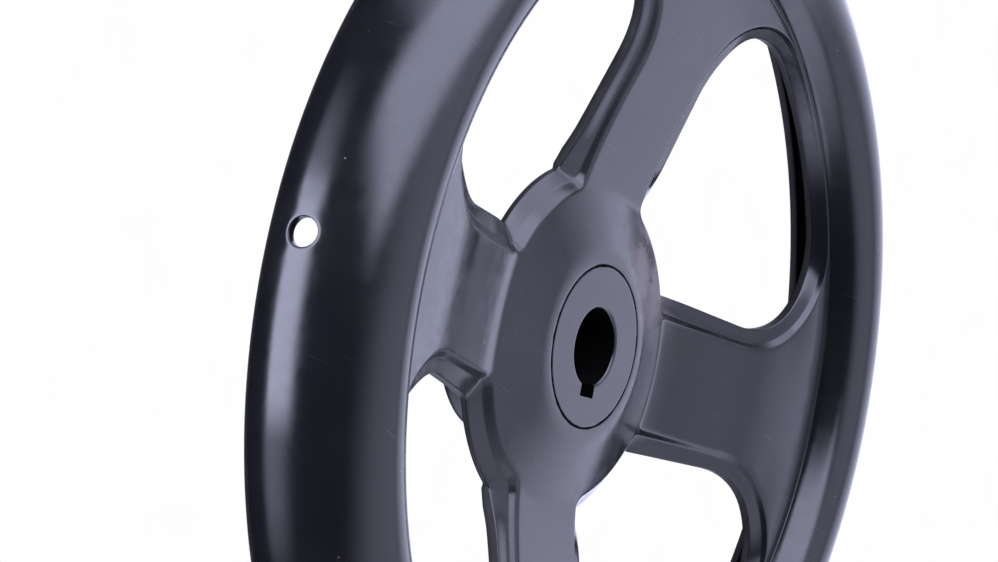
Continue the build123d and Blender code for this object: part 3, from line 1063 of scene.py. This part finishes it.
def smear_group():
    """Node group: a cloudy patch of smeared dust within a radius of its centre."""
    group = Group("Smear", "Mask", Place="vector", Centre="vector", Radius="value", Size="value")
    tree = group.tree
    beyond, within = 6.0, 5.0
    away = node(tree, "ShaderNodeVectorMath", operation="DISTANCE")
    for slot, label in zip(away.inputs, ("Place", "Centre")):
        feed(tree, slot, group.input(label))
    outer = maths(tree, "ADD", group.input("Radius"), beyond)
    inner = maths(tree, "SUBTRACT", group.input("Radius"), within)
    near = ramp(tree, away.outputs["Value"], outer, inner)
    rate = maths(tree, "DIVIDE", 1.0, group.input("Size"))
    cloud = noise_value(tree, group.input("Place"), rate, detail=4.0, roughness=0.6)
    return group.put_out(maths(tree, "MULTIPLY", near, ramp(tree, cloud, 0.3, 0.6, start=0.35)))


def ring_mask(tree, place, radius, width):
    """Mask of a ring round the axis, of uneven width. The sizes are sockets or numbers."""
    narrowest, widest, core = 0.75, 1.3, 0.6
    from_axis, _ = axis_parts(tree, place)
    away = maths(tree, "ABSOLUTE", maths(tree, "SUBTRACT", from_axis, radius))
    uneven = noise_value(tree, place, 0.35, detail=4.0, roughness=0.65)
    outer = maths(tree, "MULTIPLY", width, ramp(tree, uneven, 0.35, 0.7, narrowest, widest))
    return ramp(tree, away, outer, maths(tree, "MULTIPLY", outer, core))


def ring_group():
    """Node group: a ring round the axis, of uneven width, for the seam's dirt and its painted shade."""
    group = Group("Ring of dirt and shade", "Mask", Place="vector", Radius="value", Width="value")
    place, radius, width = (group.input(label) for label in ("Place", "Radius", "Width"))
    return group.put_out(ring_mask(group.tree, place, radius, width))


def turning_group():
    """Node group: height of the fine grooves that a lathe leaves round the axis."""
    group = Group("Turned grooves", "Height", Place="vector", Pitch="value", Height="value")
    tree = group.tree
    path = maths(tree, "ADD", *axis_parts(tree, group.input("Place")))
    turns = maths(tree, "MULTIPLY", maths(tree, "DIVIDE", path, group.input("Pitch")), 2 * math.pi)
    wave = maths(tree, "MULTIPLY_ADD", maths(tree, "SINE", turns), 0.5, 0.5)
    uneven = noise_value(tree, group.input("Place"), 0.2)
    rise = maths(tree, "MULTIPLY", wave, uneven)
    return group.put_out(maths(tree, "MULTIPLY", rise, group.input("Height")))


# What makes each shared node group, by the group's name
SHARED_GROUPS = {
    "Specks": speck_group,
    "Orange peel": peel_group,
    "Scratches": scratch_group,
    "Smear": smear_group,
    "Ring of dirt and shade": ring_group,
    "Turned grooves": turning_group,
}


def place_group(tree, name, place, **values):
    """Puts a shared node group, made only once, into a material with its own values."""
    shared = bpy.data.node_groups.get(name) or SHARED_GROUPS[name]()
    return node(tree, "ShaderNodeGroup", node_tree=shared, Place=place, **values).outputs[0]


def coat_material(name, finish, extra):
    """Black coating on steel. extra adds dirt and changes on top of the common coat.

    All places in the material are in millimetres from the wheel's axis and back.
    """
    smoother, rougher, speck_rough = 0.03, 0.04, 0.4
    material = bpy.data.materials.new(name)
    material.use_nodes = True
    tree = material.node_tree
    shader = tree.nodes["Principled BSDF"]
    spot = node(tree, "ShaderNodeTexCoord")
    place = node(tree, "ShaderNodeVectorMath", operation="SCALE",
                 Vector=spot.outputs["Object"], Scale=1 / MM).outputs[0]

    cloud = noise_value(tree, place, 0.045, detail=4.0, roughness=0.6)
    tint = mix_colour(tree, ramp(tree, cloud, 0.45, 0.8), finish.coat, finish.coat_thin)
    uneven = noise_value(tree, place, 0.3, detail=3.0, roughness=0.6)
    rough = ramp(tree, uneven, 0.3, 0.7, finish.coat_roughness - smoother, finish.coat_roughness + rougher)
    height = place_group(tree, "Orange peel", place, Size=finish.peel_size / MM, Height=finish.peel / MM)
    specks = place_group(tree, "Specks", place, Spacing=2.4, Size=0.20, Patches=22.0, Cover=0.62)
    tint = mix_colour(tree, specks, tint, finish.dust)
    rough = add_share(tree, rough, specks, speck_rough)
    tint, rough, height = extra(tree, place, finish, tint, rough, height)
    bump = node(tree, "ShaderNodeBump", Strength=1.0, Distance=MM, Height=height)
    for label, given in (("Normal", bump.outputs["Normal"]), ("Base Color", tint), ("Roughness", rough),
                         ("IOR", finish.coat_ior)):
        feed(tree, shader.inputs[label], given)
    return material


def add_share(tree, value, mask, amount):
    """A value with an amount added where a mask is 1."""
    return maths(tree, "ADD", value, maths(tree, "MULTIPLY", mask, amount))


def dull_places(tree, share):
    """Takes the shine off the places that a mask marks."""
    shiny, dull = 0.5, 0.02
    shader = tree.nodes["Principled BSDF"]
    feed(tree, shader.inputs["Specular IOR Level"], ramp(tree, share, 0.0, 1.0, shiny, dull))


def sheet_extra(tree, place, finish, tint, rough, height):
    """Rust specks and smeared dust on the dome, scratches, sheared edges, and the seam's dirt with painted
    shade of its gap.
    """
    rust_end, rust_fade, smear_rough = 52.0, 44.0, 0.2
    rust = place_group(tree, "Specks", place, Spacing=0.9, Size=0.42, Patches=9.0, Cover=0.50)
    away = node(tree, "ShaderNodeVectorMath", operation="LENGTH", Vector=place)
    near = ramp(tree, away.outputs["Value"], rust_end, rust_fade)
    rust = maths(tree, "MULTIPLY", maths(tree, "MULTIPLY", rust, near), finish.rust_cover)
    tint = mix_colour(tree, rust, tint, finish.rust)
    smeared = place_group(tree, "Smear", place, Centre=SMEAR_PLACE, Radius=14.0, Size=8.0)
    tint = mix_colour(tree, maths(tree, "MULTIPLY", smeared, finish.smear_cover), tint, finish.smear)
    rough = add_share(tree, rough, smeared, smear_rough)
    scratches = place_group(tree, "Scratches", place, Turn=0.35, Length=9.0, Width=0.25, Cover=0.25)
    tint = mix_colour(tree, maths(tree, "MULTIPLY", scratches, finish.scratch_cover), tint, finish.dust)

    bare_rough, bare_dull, torn_height = 0.42, 0.4, 0.05
    edge = node(tree, "ShaderNodeAttribute", attribute_name="cut_edge").outputs["Fac"]
    ragged = noise_value(tree, place, 1.1, detail=4.0, roughness=0.7)
    bare = ramp(tree, maths(tree, "MULTIPLY", edge, maths(tree, "ADD", ragged, 0.5)), 0.45, 0.6)
    steel = mix_colour(tree, ramp(tree, ragged, 0.4, 0.75), finish.grime_and_shade, finish.cut_steel)
    tint = mix_colour(tree, bare, tint, steel)
    rough = add_share(tree, rough, bare, bare_rough)
    height = add_share(tree, height, maths(tree, "MULTIPLY", ragged, edge), torn_height)

    # Seam round the spigot: dirt, and painted shade of the narrow gap between hub and pressing. The ring is
    # coloured near black and loses its shine.
    seam_rough, seam_depth = 0.5, 0.1
    radius, width = SEAM_RADIUS / MM, finish.seam / MM
    seam = place_group(tree, "Ring of dirt and shade", place, Radius=radius, Width=width)
    # The shine has a ring of its own: a group feeds only colour, roughness and height
    dull_ring = ring_mask(tree, place, radius, width)
    dull_places(tree, maths(tree, "MAXIMUM", maths(tree, "MULTIPLY", bare, bare_dull), dull_ring))
    tint = mix_colour(tree, seam, tint, finish.grime_and_shade)
    rough = add_share(tree, rough, seam, seam_rough)
    height = maths(tree, "SUBTRACT", height, maths(tree, "MULTIPLY", seam, seam_depth))
    return tint, rough, height


def turned_extra(tree, place, finish, tint, rough, height):
    """Lathe grooves, dirt with painted shade at the seam, and painted shade in the bore, whose walls are
    coloured near black and lose their shine.
    """
    hub_share, dirt_and_shade_rough = 0.9, 0.7
    bore_end, bore_start = 15.0, 14.0
    grooves = place_group(tree, "Turned grooves", place, Pitch=0.22, Height=0.0008)
    height = maths(tree, "ADD", height, grooves)
    seam_radius, width = SEAM_RADIUS / MM, finish.seam * hub_share / MM
    seam = place_group(tree, "Ring of dirt and shade", place, Radius=seam_radius, Width=width)
    # Painted shade in the bore: the upright walls within about 15 mm of the axis, the keyway's too, are
    # coloured near black and lose their shine
    facing = node(tree, "ShaderNodeNewGeometry")
    apart = node(tree, "ShaderNodeSeparateXYZ", Vector=facing.outputs["True Normal"])
    upright = ramp(tree, maths(tree, "ABSOLUTE", apart.outputs["Z"]), 0.5, 0.3)
    radius, _ = axis_parts(tree, place)
    inside = maths(tree, "MULTIPLY", upright, ramp(tree, radius, bore_end, bore_start))
    # dark joins the seam's dirt and painted shade with the bore's painted shade
    dark = maths(tree, "MAXIMUM", seam, inside)
    dull_places(tree, maths(tree, "MAXIMUM", ring_mask(tree, place, seam_radius, width), inside))
    tint = mix_colour(tree, dark, tint, finish.grime_and_shade)
    rough = add_share(tree, rough, dark, dirt_and_shade_rough)
    return tint, rough, height


def weld_extra(tree, place, finish, tint, rough, height):
    """Spatter and a rougher coating on the weld."""
    spatter_height, weld_rough = 0.05, 0.12
    spatter = place_group(tree, "Specks", place, Spacing=1.6, Size=0.5, Patches=8.0, Cover=0.7)
    height = add_share(tree, height, spatter, spatter_height)
    return tint, maths(tree, "ADD", rough, weld_rough), height


# ---------------------------------------------------------------------------
# Operators
# ---------------------------------------------------------------------------


class HANDWHEEL_OT_body(Operator):
    """Build the pressed body with its rolled rim"""

    bl_idname = "handwheel.body"
    bl_label = "Pressed body"

    def execute(self, context):
        sizes = context.scene.handwheel_pressing
        body = build_body(sizes)
        body.data.materials.append(coat_material("sheet_coat", context.scene.handwheel_finish, sheet_extra))
        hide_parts("wheel_body")
        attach(body, "root")
        return {"FINISHED"}


class HANDWHEEL_OT_hub(Operator):
    """Build the turned hub and the weld behind the pressing"""

    bl_idname = "handwheel.hub"
    bl_label = "Hub and weld"

    def execute(self, context):
        scene = context.scene
        hub = build_hub(scene.handwheel_hub, WELD_HIGH.z)
        weld = build_weld(scene.handwheel_weld, scene.handwheel_hub, WELD_HIGH.z)
        hub.data.materials.append(coat_material("turned_coat", scene.handwheel_finish, turned_extra))
        weld.data.materials.append(coat_material("weld_coat", scene.handwheel_finish, weld_extra))
        for piece, stands_for, slot in ((hub, "hub", "turned_steel"), (weld, "hub_weld", "weld_steel")):
            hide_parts(stands_for)
            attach(piece, "root")
        return {"FINISHED"}


class HANDWHEEL_OT_studio(Operator):
    """Set up the floor, the light and the camera"""

    bl_idname = "handwheel.studio"
    bl_label = "Studio"

    def execute(self, context):
        studio = context.scene.handwheel_studio
        make_camera(studio)
        make_floor(studio)
        make_world(studio)
        context.scene.view_settings.view_transform = "Standard"
        return {"FINISHED"}


def make_camera(studio):
    """Camera on the wheel's left, rolled so that one diameter stands nearly upright.

    The wheel's middle appears at aim_x, aim_y in pixels of an image whose middle is at
    centre_x, centre_y.
    """
    image_width, centre_x, centre_y = 998, 499, 281
    aim_x, aim_y = 595.581, 347.152
    sensor = 36
    focal = studio.focal * image_width
    tilt = studio.tilt
    position = studio.distance * np.array([-math.sin(tilt), 0, math.cos(tilt)])
    right = np.array([math.cos(tilt), 0, math.sin(tilt)])
    down = np.array([0, -1, 0])
    ahead = -position / studio.distance
    axes = np.array([right, down, ahead])
    yaw = math.atan2(aim_x - centre_x, focal)
    pitch = math.atan2(-(aim_y - centre_y), math.hypot(focal, aim_x - centre_x))
    turned = (Matrix.Rotation(yaw, 3, "Y") @ Matrix.Rotation(pitch, 3, "X")
              @ Matrix.Rotation(studio.roll, 3, "Z") @ Matrix(axes.tolist()))
    right, down, ahead = (Vector(row) for row in turned)
    camera = bpy.data.objects.new("camera", bpy.data.cameras.new("camera"))
    camera.data.sensor_width = sensor
    camera.data.lens = sensor * studio.focal
    camera.data.clip_start = 10 * MM
    camera.data.clip_end = 20
    facing = Matrix((right, -down, -ahead)).transposed().to_4x4()
    place = Matrix.Translation((0, 0, HUB_HIGH.z)) @ Matrix.Rotation(studio.turn, 4, "Z")
    camera.matrix_world = place @ Matrix.Translation(position.tolist()) @ facing
    bpy.context.scene.collection.objects.link(camera)
    bpy.context.scene.camera = camera


def make_floor(studio):
    """Pale floor under the wheel, seen by the camera but not by the wheel."""
    half, grain_scale, darker, brighter = 4.0, 60.0, 0.012, 0.004
    mesh = bpy.data.meshes.new("floor")
    corners = [(-half, -half, 0), (half, -half, 0), (half, half, 0), (-half, half, 0)]
    mesh.from_pydata(corners, [], [(0, 1, 2, 3)])
    floor = bpy.data.objects.new("floor", mesh)
    bpy.context.scene.collection.objects.link(floor)
    material = bpy.data.materials.new("floor")
    material.use_nodes = True
    tree = material.node_tree
    tree.nodes.clear()
    output = node(tree, "ShaderNodeOutputMaterial")
    path = node(tree, "ShaderNodeLightPath")
    spot = node(tree, "ShaderNodeTexCoord")
    grain = noise_value(tree, spot.outputs["Object"], grain_scale, detail=4.0)
    strength = ramp(tree, grain, 0.3, 0.7, studio.backdrop - darker, studio.backdrop + brighter)
    white = node(tree, "ShaderNodeEmission", Strength=strength)
    clear = node(tree, "ShaderNodeBsdfTransparent")
    mix = node(tree, "ShaderNodeMixShader", Fac=path.outputs["Is Camera Ray"])
    tree.links.new(clear.outputs[0], mix.inputs[1])
    tree.links.new(white.outputs[0], mix.inputs[2])
    tree.links.new(mix.outputs[0], output.inputs["Surface"])
    mesh.materials.append(material)


def soft_box_group():
    """Node group: brightness of a softbox seen in a direction from the wheel.

    The direction is turned so that the box's middle lies on the X axis. Its angles from
    there, sideways and upwards, then fade the light out over the box's soft edge.
    """
    group = Group("Soft box", "Brightness", Direction="vector", Azimuth="value", Elevation="value",
                  Half_width="value", Half_height="value", Edge="value", Strength="value")
    tree = group.tree
    turned = node(tree, "ShaderNodeVectorRotate", rotation_type="Z_AXIS", Vector=group.input("Direction"),
                  Angle=maths(tree, "MULTIPLY", group.input("Azimuth"), -1.0))
    raised = node(tree, "ShaderNodeVectorRotate", rotation_type="Y_AXIS", Vector=turned.outputs[0],
                  Angle=group.input("Elevation"))
    axes = node(tree, "ShaderNodeSeparateXYZ", Vector=raised.outputs[0])
    edge = group.input("Edge")
    fades = []
    for axis, half in (("Y", group.input("Half width")), ("Z", group.input("Half height"))):
        away = maths(tree, "ABSOLUTE", maths(tree, "ARCTAN2", axes.outputs[axis], axes.outputs["X"]))
        inner, outer = maths(tree, "SUBTRACT", half, edge), maths(tree, "ADD", half, edge)
        fades.append(ramp(tree, away, inner, outer, 1.0, 0.0))
    return group.put_out(maths(tree, "MULTIPLY", maths(tree, "MULTIPLY", *fades), group.input("Strength")))


# Softboxes on the tent: azimuth from the camera's turn, elevation over the wheel's
# plane, half width, half height and softness of the edge, all in degrees
SOFT_BOXES = {
    "left_box": (180, -15, 20, 15, 5),
    "left_spread": (184, -18, 36, 14, 9),
    "top_box": (118, 41, 29, 21, 8),
    "top_spread": (91, 19, 33, 33, 8),
    "low_wall": (60, -8, 32, 20, 14),
    "right_wall": (-82, -4, 32, 30, 12),
    "far_wall": (-15, 20, 46, 28, 20),
    "far_low": (0, -5, 42, 40, 15),
    "ceiling": (0, 80, 60, 32, 20),
    "fill": (0, 0, 180, 90, 1),
}


def make_world(studio):
    """White backdrop for the camera and a light tent that the wheel reflects."""
    world = bpy.data.worlds.new("backdrop")
    bpy.context.scene.world = world
    world.use_nodes = True
    tree = world.node_tree
    tree.nodes.clear()
    output = node(tree, "ShaderNodeOutputWorld")
    path = node(tree, "ShaderNodeLightPath")
    bright = maths(tree, "MULTIPLY", path.outputs["Is Camera Ray"], studio.backdrop)
    white = node(tree, "ShaderNodeBackground", Strength=bright)
    tree.links.new(white.outputs[0], output.inputs["Surface"])

    mesh = bpy.data.meshes.new("light_tent")
    work = bmesh.new()
    bmesh.ops.create_icosphere(work, subdivisions=5, radius=studio.tent)
    work.to_mesh(mesh)
    work.free()
    mesh.shade_smooth()
    tent = bpy.data.objects.new("light_tent", mesh)
    tent.location = (0, 0, HUB_HIGH.z)
    tent.rotation_euler = (0, 0, studio.turn)
    bpy.context.scene.collection.objects.link(tent)
    tent.visible_camera = False
    tent.visible_shadow = False
    mesh.materials.append(tent_material(studio))


def tent_material(studio):
    """Emission of the tent: that of the brightest softbox in each direction."""
    material = bpy.data.materials.new("light_tent")
    material.use_nodes = True
    material.cycles.emission_sampling = "NONE"
    tree = material.node_tree
    tree.nodes.clear()
    output = node(tree, "ShaderNodeOutputMaterial")
    place = node(tree, "ShaderNodeTexCoord")
    direction = node(tree, "ShaderNodeVectorMath", operation="NORMALIZE", Vector=place.outputs["Object"])
    soft_box = soft_box_group()
    brightest = 0.0
    for name, degrees in SOFT_BOXES.items():
        box = node(tree, "ShaderNodeGroup", node_tree=soft_box, label=name.replace("_", " "),
                   Direction=direction.outputs[0], Strength=getattr(studio, name))
        for label, given in zip(("Azimuth", "Elevation", "Half width", "Half height", "Edge"), degrees):
            box.inputs[label].default_value = math.radians(given)
        brightest = maths(tree, "MAXIMUM", brightest, box.outputs[0])
    tinted = node(tree, "ShaderNodeVectorMath", operation="SCALE", Vector=studio.light, Scale=brightest)
    glow = node(tree, "ShaderNodeEmission", Color=tinted.outputs[0], Strength=1.0)
    tree.links.new(glow.outputs[0], output.inputs["Surface"])
    return material


class HANDWHEEL_PT_panel(Panel):
    """Lists each operator under the sizes and colours that it works with"""

    bl_label = "Handwheel"
    bl_idname = "HANDWHEEL_PT_panel"
    bl_space_type = "VIEW_3D"
    bl_region_type = "UI"
    bl_category = "Handwheel"

    def draw(self, context):
        for title, names, operator in SECTIONS:
            box = self.layout.box()
            box.label(text=title)
            for name in names:
                for size in GROUPS[name].__annotations__:
                    box.prop(getattr(context.scene, name), size)
            if operator:
                box.operator(operator.bl_idname)


GROUPS = {
    "handwheel_finish": HANDWHEEL_PG_finish,
    "handwheel_pressing": HANDWHEEL_PG_pressing,
    "handwheel_hub": HANDWHEEL_PG_hub,
    "handwheel_weld": HANDWHEEL_PG_weld,
    "handwheel_studio": HANDWHEEL_PG_studio,
}
# The panel's sections: title, property groups and the operator that uses them
SECTIONS = (
    ("Coating of all pieces", ("handwheel_finish",), None),
    ("Pressed body", ("handwheel_pressing",), HANDWHEEL_OT_body),
    ("Hub and weld", ("handwheel_hub", "handwheel_weld"), HANDWHEEL_OT_hub),
    ("Studio", ("handwheel_studio",), HANDWHEEL_OT_studio),
)
CLASSES = (*GROUPS.values(), HANDWHEEL_OT_body, HANDWHEEL_OT_hub, HANDWHEEL_OT_studio, HANDWHEEL_PT_panel)


def register():
    """Registers the classes and puts the property groups on the scene."""
    for cls in CLASSES:
        bpy.utils.register_class(cls)
    for name, group in GROUPS.items():
        setattr(bpy.types.Scene, name, PointerProperty(type=group))


def unregister():
    """Takes everything off again."""
    for name in GROUPS:
        delattr(bpy.types.Scene, name)
    for cls in reversed(CLASSES):
        bpy.utils.unregister_class(cls)


def main():
    """Builds the handwheel and its studio."""
    register()
    bpy.ops.handwheel.body()
    bpy.ops.handwheel.hub()
    bpy.ops.handwheel.studio()


if __name__ == "__main__":
    main()
